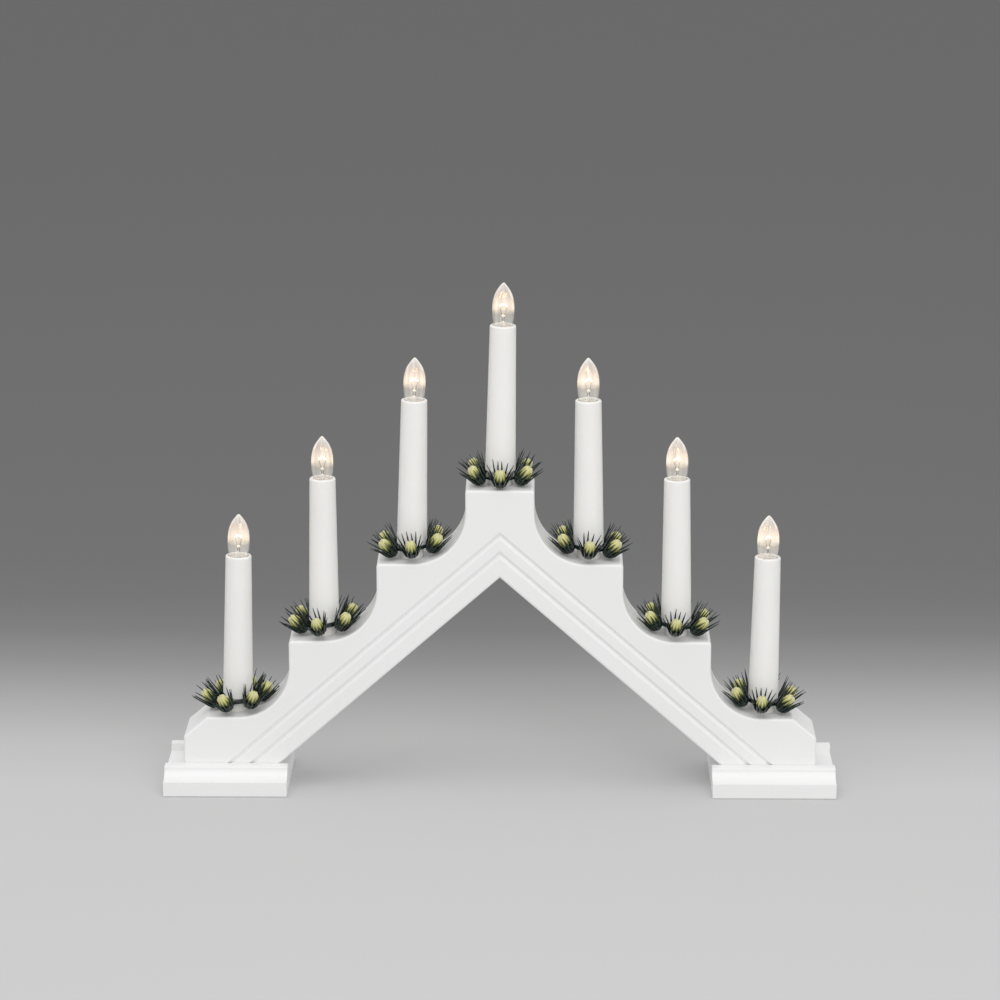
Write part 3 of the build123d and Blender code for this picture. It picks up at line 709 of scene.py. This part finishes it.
def rib_and_needle(bm, angle):
    """One rib of a cup that runs on as a needle, extruded along its stations."""
    lean = wobble.uniform(-lean_limit, lean_limit)
    stretch = wobble.uniform(shortest, longest)
    spread = wobble.uniform(narrowest, widest)
    loop = None
    for reach, height, width in needle_stations:
        free = max(height - mouth_height, 0) / (tip_height - mouth_height)
        fan = needle_fan * abs(sin(angle)) * free
        where = Vector((reach + (spread + fan) * free, 0, height - (1 - stretch) * free_length * free)) * mm
        turn = Matrix.Rotation(angle + lean * free, 3, "Z")
        if loop is None:
            loop = bmesh.ops.create_circle(bm, cap_ends=True, segments=4, radius=width * mm)["verts"]
            middle = Vector((0, 0, 0))
            edges = list({edge for vert in loop for edge in vert.link_edges})
        else:
            grown = bmesh.ops.extrude_edge_only(bm, edges=edges)["geom"]
            loop = [g for g in grown if isinstance(g, bmesh.types.BMVert)]
            edges = [g for g in grown if isinstance(g, bmesh.types.BMEdge)]
            bmesh.ops.scale(
                bm, verts=loop, vec=(width / last_width,) * 3, space=Matrix.Translation(-middle)
            )
        bmesh.ops.translate(bm, verts=loop, vec=turn @ where - middle)
        middle = turn @ where
        last_width = width
    bmesh.ops.contextual_create(bm, geom=edges)


def tuft(bm):
    """Cup, ribs and needles of one tuft, standing on the origin."""
    before = set(bm.verts)
    spun(bm, cup_outline, cup_steps)
    for k in range(needle_count):
        rib_and_needle(bm, 2 * pi * k / needle_count + wobble.uniform(-around_limit, around_limit))
    return list(set(bm.verts) - before)


def ring_place(n):
    """Where ring n lies: its own axis through the middle of its hoop, and its turn."""
    lean = Vector((0, 0, 1)).rotation_difference(axis_of[n]).to_matrix().to_4x4()
    turn = Matrix.Rotation(radians(ring_turns[n]), 4, "Z")
    return Matrix.Translation(hoop_of[n]) @ lean @ turn @ Matrix.Translation((0, 0, -hoop_rise))


def tuft_place(k):
    """Where tuft k stands on its ring."""
    around = Matrix.Rotation(radians(360 / tuft_count * k - 90), 4, "Z")
    foot_rise = cup_foot_radius * cos(radians(tuft_elevation))
    outwards = Matrix.Translation((tuft_reach * mm, 0, foot_rise * mm))
    return around @ outwards @ Matrix.Rotation(radians(90 - tuft_elevation), 4, "Y")


print("tufts lean out by", 90 - tuft_elevation, "degrees")

# %% [markdown]
# The needles are moulded polyethylene, dyed a green that is nearly black. Their smooth skin gives small
# hard highlights, and paler streaks about a millimetre long are painted on as highlights, which keep the
# tufts from reading as black holes.

# %% Finish of the needles and the rings in their places
painted_highlight_streaks_per_metre = 900
needle_tones_with_painted_highlights = [(0.0, "#070e0d"), (0.5, "#0c1715"), (0.6, "#1b332b"), (0.7, "#46604f"), (1.0, "#6d8070")]


def needle_material():
    """Dark green polyethylene with paler streaks painted on as highlights."""
    material, tree, shader = new_material("dark_green_polyethylene")
    place = add_node(tree, "ShaderNodeTexCoord").outputs["Object"]
    marks = add_node(
        tree, "ShaderNodeTexNoise", {"Vector": place, "Scale": painted_highlight_streaks_per_metre, "Detail": 2}
    )
    # Painted highlights: the paler end of the needle tones, spread by noise, stands in for gloss on the
    # needles.
    tone = add_node(tree, "ShaderNodeValToRGB", {"Fac": marks.outputs["Fac"]}, needle_tones_with_painted_highlights)
    bump = add_node(
        tree, "ShaderNodeBump", {"Height": marks.outputs["Fac"], "Strength": 0.2, "Distance": 0.3 * mm}
    )
    tree.links.new(tone.outputs["Color"], shader.inputs["Base Color"])
    tree.links.new(bump.outputs["Normal"], shader.inputs["Normal"])
    set_inputs(shader, Roughness=0.22, Specular_IOR_Level=0.45)
    return material


needle_plastic = needle_material()
for n in numbers:
    bm = bmesh.new()
    spun(bm, hoop_outline, hoop_steps)
    for k in range(tuft_count):
        bmesh.ops.transform(bm, matrix=tuft_place(k), verts=tuft(bm))
    ring = finish_piece(
        f"needles_{n}", bm, needle_plastic, f"ring_{n}", [f"needle_ring_{n}"], ring_place(n), smooth=False
    )
print("needles in all", tuft_count * needle_count * candle_count)

# %% [markdown]
# In every cup stands a bud of thinner, paler plastic with pinched ridges, so that it reads as a folded
# bundle of pale leaves. It is a spindle with every other step drawn in, twisted a little as it rises. Its
# foot is painted darker in stripes, as painted shade of the cup and of the drawn-in creases, and this shade
# is painted here by height and turn.

# %% Buds
bud_outline = [
    (0.0, 2.7), (1.9, 2.7), (2.7, 4.2), (3.3, 6.4), (3.55, 8.6), (3.35, 10.6), (2.7, 12.4), (1.7, 13.6),
    (0.7, 13.6), (0.0, 12.8),
]
bud_foot = bud_outline[0][1]
bud_height = max(height for _, height in bud_outline)
bud_steps = 18
ridge_share = 0.17
ridge_drop = 1.1
bud_twist = 0.3
pole_radius = 0.3 * mm


def ridged_bud(bm, rise_layer, crease_shade_layer):
    """Bud of one tuft, standing on the cup floor."""
    before = set(bm.verts)
    spun(bm, bud_outline, bud_steps)
    made = list(set(bm.verts) - before)
    for vert in made:
        vert[rise_layer] = (vert.co.z / mm - bud_foot) / (bud_height - bud_foot)
        reach = Vector((vert.co.x, vert.co.y))
        if reach.length > pole_radius:
            step = round(reach.angle_signed(Vector((1, 0)), 0) / (2 * pi) * bud_steps)
            if step % 2:
                # Marks this drawn-in crease for painted shade.
                vert[crease_shade_layer] = 1
                vert.co.z -= ridge_drop * mm * vert[rise_layer] ** 2
                vert.co.x *= 1 - ridge_share
                vert.co.y *= 1 - ridge_share
            spin = Matrix.Rotation(bud_twist * vert.co.z / (bud_height * mm), 3, "Z")
            vert.co = spin @ vert.co
    return made


print("folds on a bud", bud_steps // 2)

# %% [markdown]
# The buds are polyethylene too, but pale and a little clear. Light wanders in it, so the folds stay soft
# and bright, and the painted shade at the foot runs in stripes from yellow green to nearly black. A grain
# of about half a millimetre stands for the finer creases of the real ones.

# %% Finish of the buds and the buds in their places
bud_tones_with_painted_shade = [
    (0.0, "#1f2b20"), (0.2, "#3f4c2c"), (0.34, "#8d9450"), (0.5, "#c9c87c"), (0.75, "#e4e1a2"),
    (1.0, "#efebbc"),
]
crease_shade_depth = 0.42
bud_grain_per_metre = 1600


def bud_plastic():
    """Pale green plastic with painted shade, darker in stripes towards its foot."""
    material, tree, shader = new_material("pale_green_polyethylene")
    rise = add_node(tree, "ShaderNodeAttribute", attribute_name="bud_rise").outputs["Fac"]
    crease_shade_mask = add_node(tree, "ShaderNodeAttribute", attribute_name="bud_crease_shade").outputs["Fac"]
    # Painted shade in the creases: the marked crease points are made darker by a fixed amount.
    shade_in_creases = add_node(tree, "ShaderNodeMath", {0: crease_shade_mask, 1: crease_shade_depth}, operation="MULTIPLY").outputs[0]
    level = add_node(tree, "ShaderNodeMath", {0: rise, 1: shade_in_creases}, operation="SUBTRACT").outputs[0]
    # Painted shade: the bud darkens towards its foot, deep in the cup, and sooner along its creases.
    tone = add_node(tree, "ShaderNodeValToRGB", {"Fac": level}, bud_tones_with_painted_shade)
    place = add_node(tree, "ShaderNodeTexCoord").outputs["Object"]
    grain = add_node(
        tree, "ShaderNodeTexNoise", {"Vector": place, "Scale": bud_grain_per_metre, "Detail": 2}
    )
    bump = add_node(
        tree, "ShaderNodeBump", {"Height": grain.outputs["Fac"], "Strength": 0.15, "Distance": 0.2 * mm}
    )
    tree.links.new(tone.outputs["Color"], shader.inputs["Base Color"])
    tree.links.new(bump.outputs["Normal"], shader.inputs["Normal"])
    set_inputs(
        shader,
        Roughness=0.45,
        Subsurface_Weight=0.3,
        Subsurface_Radius=(1.0, 1.0, 0.6),
        Subsurface_Scale=0.8 * mm,
    )
    return material


pale_plastic = bud_plastic()
for n in numbers:
    bm = bmesh.new()
    rise_layer = bm.verts.layers.float.new("bud_rise")
    crease_shade_layer = bm.verts.layers.float.new("bud_crease_shade")
    for k in range(tuft_count):
        made = ridged_bud(bm, rise_layer, crease_shade_layer)
        bmesh.ops.transform(bm, matrix=tuft_place(k), verts=made)
    buds = finish_piece(f"buds_{n}", bm, pale_plastic, f"ring_{n}", [f"ring_buds_{n}"], ring_place(n))
print("buds", tuft_count * candle_count)
